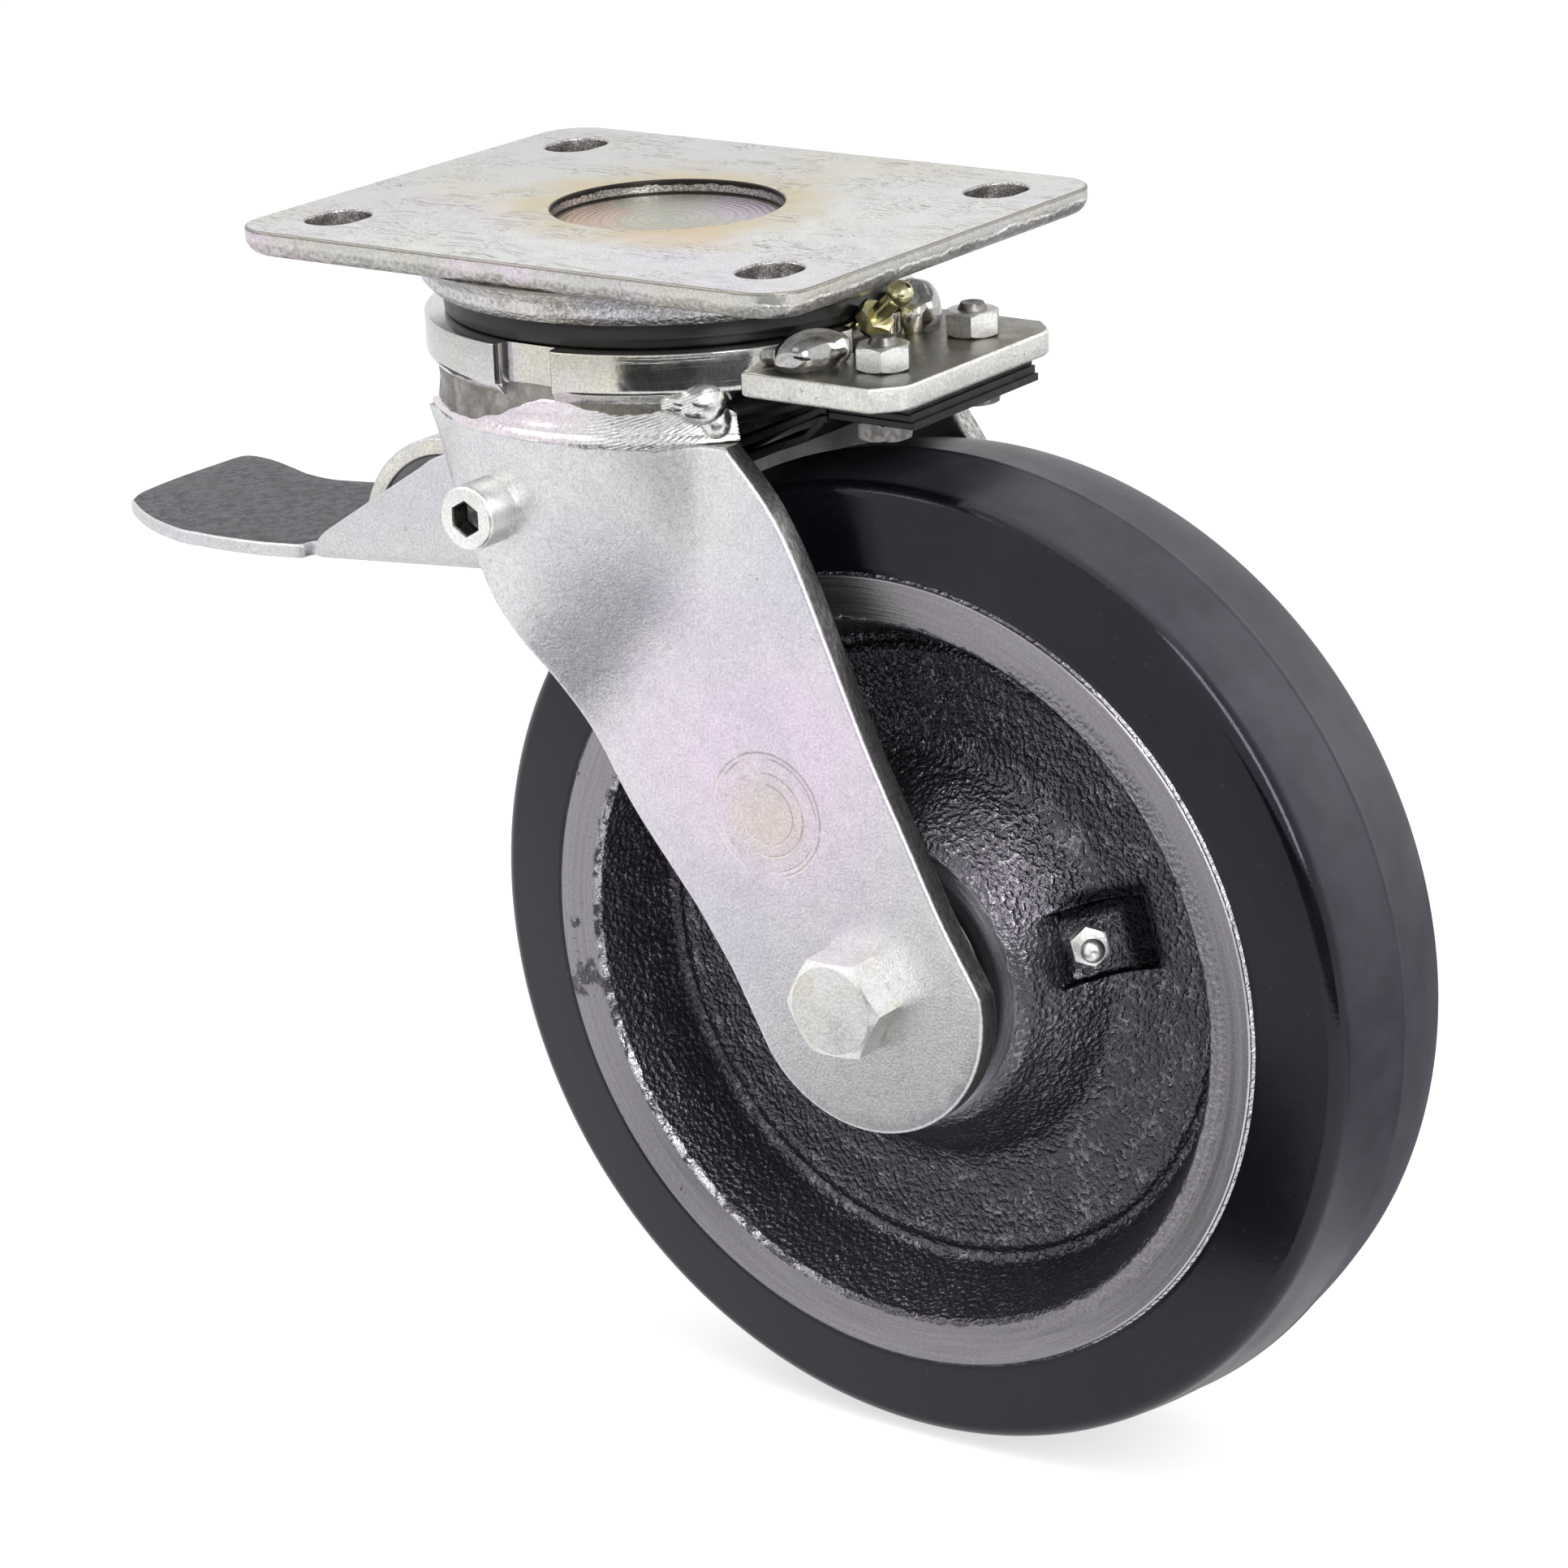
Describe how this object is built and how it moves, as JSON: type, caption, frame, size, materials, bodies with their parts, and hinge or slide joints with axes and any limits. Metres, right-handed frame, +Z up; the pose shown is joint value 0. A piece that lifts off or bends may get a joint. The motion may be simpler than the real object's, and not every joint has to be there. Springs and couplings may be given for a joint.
{
  "type": "swivel castor",
  "caption": "Heavy-duty swivel castor with a forged top plate, pressed fork legs, a rubber-tyred cast wheel and a total-lock foot pedal working leaf springs.",
  "frame": {"origin": "on the swivel axis, at the top face of the plate", "axes": "+Z up along the swivel axis, X along the wheel's axle, +Y from the swivel axis towards the trailing wheel"},
  "size_m": [0.1128, 0.3096, 0.2456],
  "materials": {
    "zinc": "bright zinc plate with a faint pink and yellow tint",
    "forged_zinc": "zinc plate over a rough forged skin",
    "fastener": "bright zinc plate",
    "yellow_zinc": "yellow passivated zinc",
    "weld": "plated weld metal",
    "core_iron": "black painted rough casting with a bare machined band",
    "rubber_tread": "smooth moulded black rubber",
    "seal_rubber": "matt black",
    "spring_steel": "blackened spring steel",
    "pedal_steel": "grey top on a zinc plated pressing",
    "bearing_steel": "ground"
  },
  "bodies": {
    "mount": {"top_plate": "forged_zinc", "kingpin_nut": "fastener", "lower_cone": "bearing_steel"},
    "fork": {"swivel_head": "forged_zinc", "thrust_balls": "bearing_steel", "dust_seal": "seal_rubber", "lower_cup": "bearing_steel", "lower_balls": "bearing_steel", "near_leg": "zinc", "far_leg": "zinc", "leg_welds": "weld", "swivel_nipple": "yellow_zinc", "spring_bracket": "zinc", "bracket_welds": "weld", "clamp_bolts": "fastener", "clamp_nuts": "fastener", "spring_pack": "spring_steel", "pivot_screws": "fastener", "pivot_bushes": "bearing_steel", "axle_bolt": "fastener", "axle_nut": "fastener", "axle_sleeve": "bearing_steel", "axle_collars": "bearing_steel", "bearing_inner_rings": "bearing_steel"},
    "wheel": {"wheel_core": "core_iron", "tread": "rubber_tread", "bearing_outer_rings": "bearing_steel", "bearing_balls": "bearing_steel", "bearing_seals": "seal_rubber", "hub_nipple": "fastener"},
    "pedal": {"pedal": "pedal_steel", "cam_bar": "bearing_steel"},
    "lock_leaf": {"upper_leaf": "spring_steel", "lock_pad": "bearing_steel"},
    "brake_leaf": {"middle_leaf": "spring_steel", "lower_leaf": "spring_steel"}
  },
  "joints": [
    {"name": "swivel", "type": "hinge", "parent": "mount", "child": "fork", "pos_m": [0, 0, 0], "axis": [0, 0, 1], "continuous": true},
    {"name": "wheel_spin", "type": "hinge", "parent": "fork", "child": "wheel", "pos_m": [0, 0.064, -0.144], "axis": [1, 0, 0], "continuous": true},
    {"name": "pedal_pivot", "type": "hinge", "parent": "fork", "child": "pedal", "pos_m": [0, -0.01, -0.052], "axis": [1, 0, 0], "range_deg": [0, 28]},
    {"name": "lock_flex", "type": "hinge", "parent": "fork", "child": "lock_leaf", "pos_m": [0, 0.0515, -0.0291], "axis": [1, 0, 0], "range_deg": [-2.2, 0]},
    {"name": "brake_flex", "type": "hinge", "parent": "fork", "child": "brake_leaf", "pos_m": [0, 0.0515, -0.03165], "axis": [1, 0, 0], "range_deg": [0, 3.9]}
  ],
  "couplings": [
    {"joint": "lock_flex", "follows": "pedal_pivot", "ratio": -0.07143},
    {"joint": "brake_flex", "follows": "pedal_pivot", "ratio": 0.13393}
  ]
}
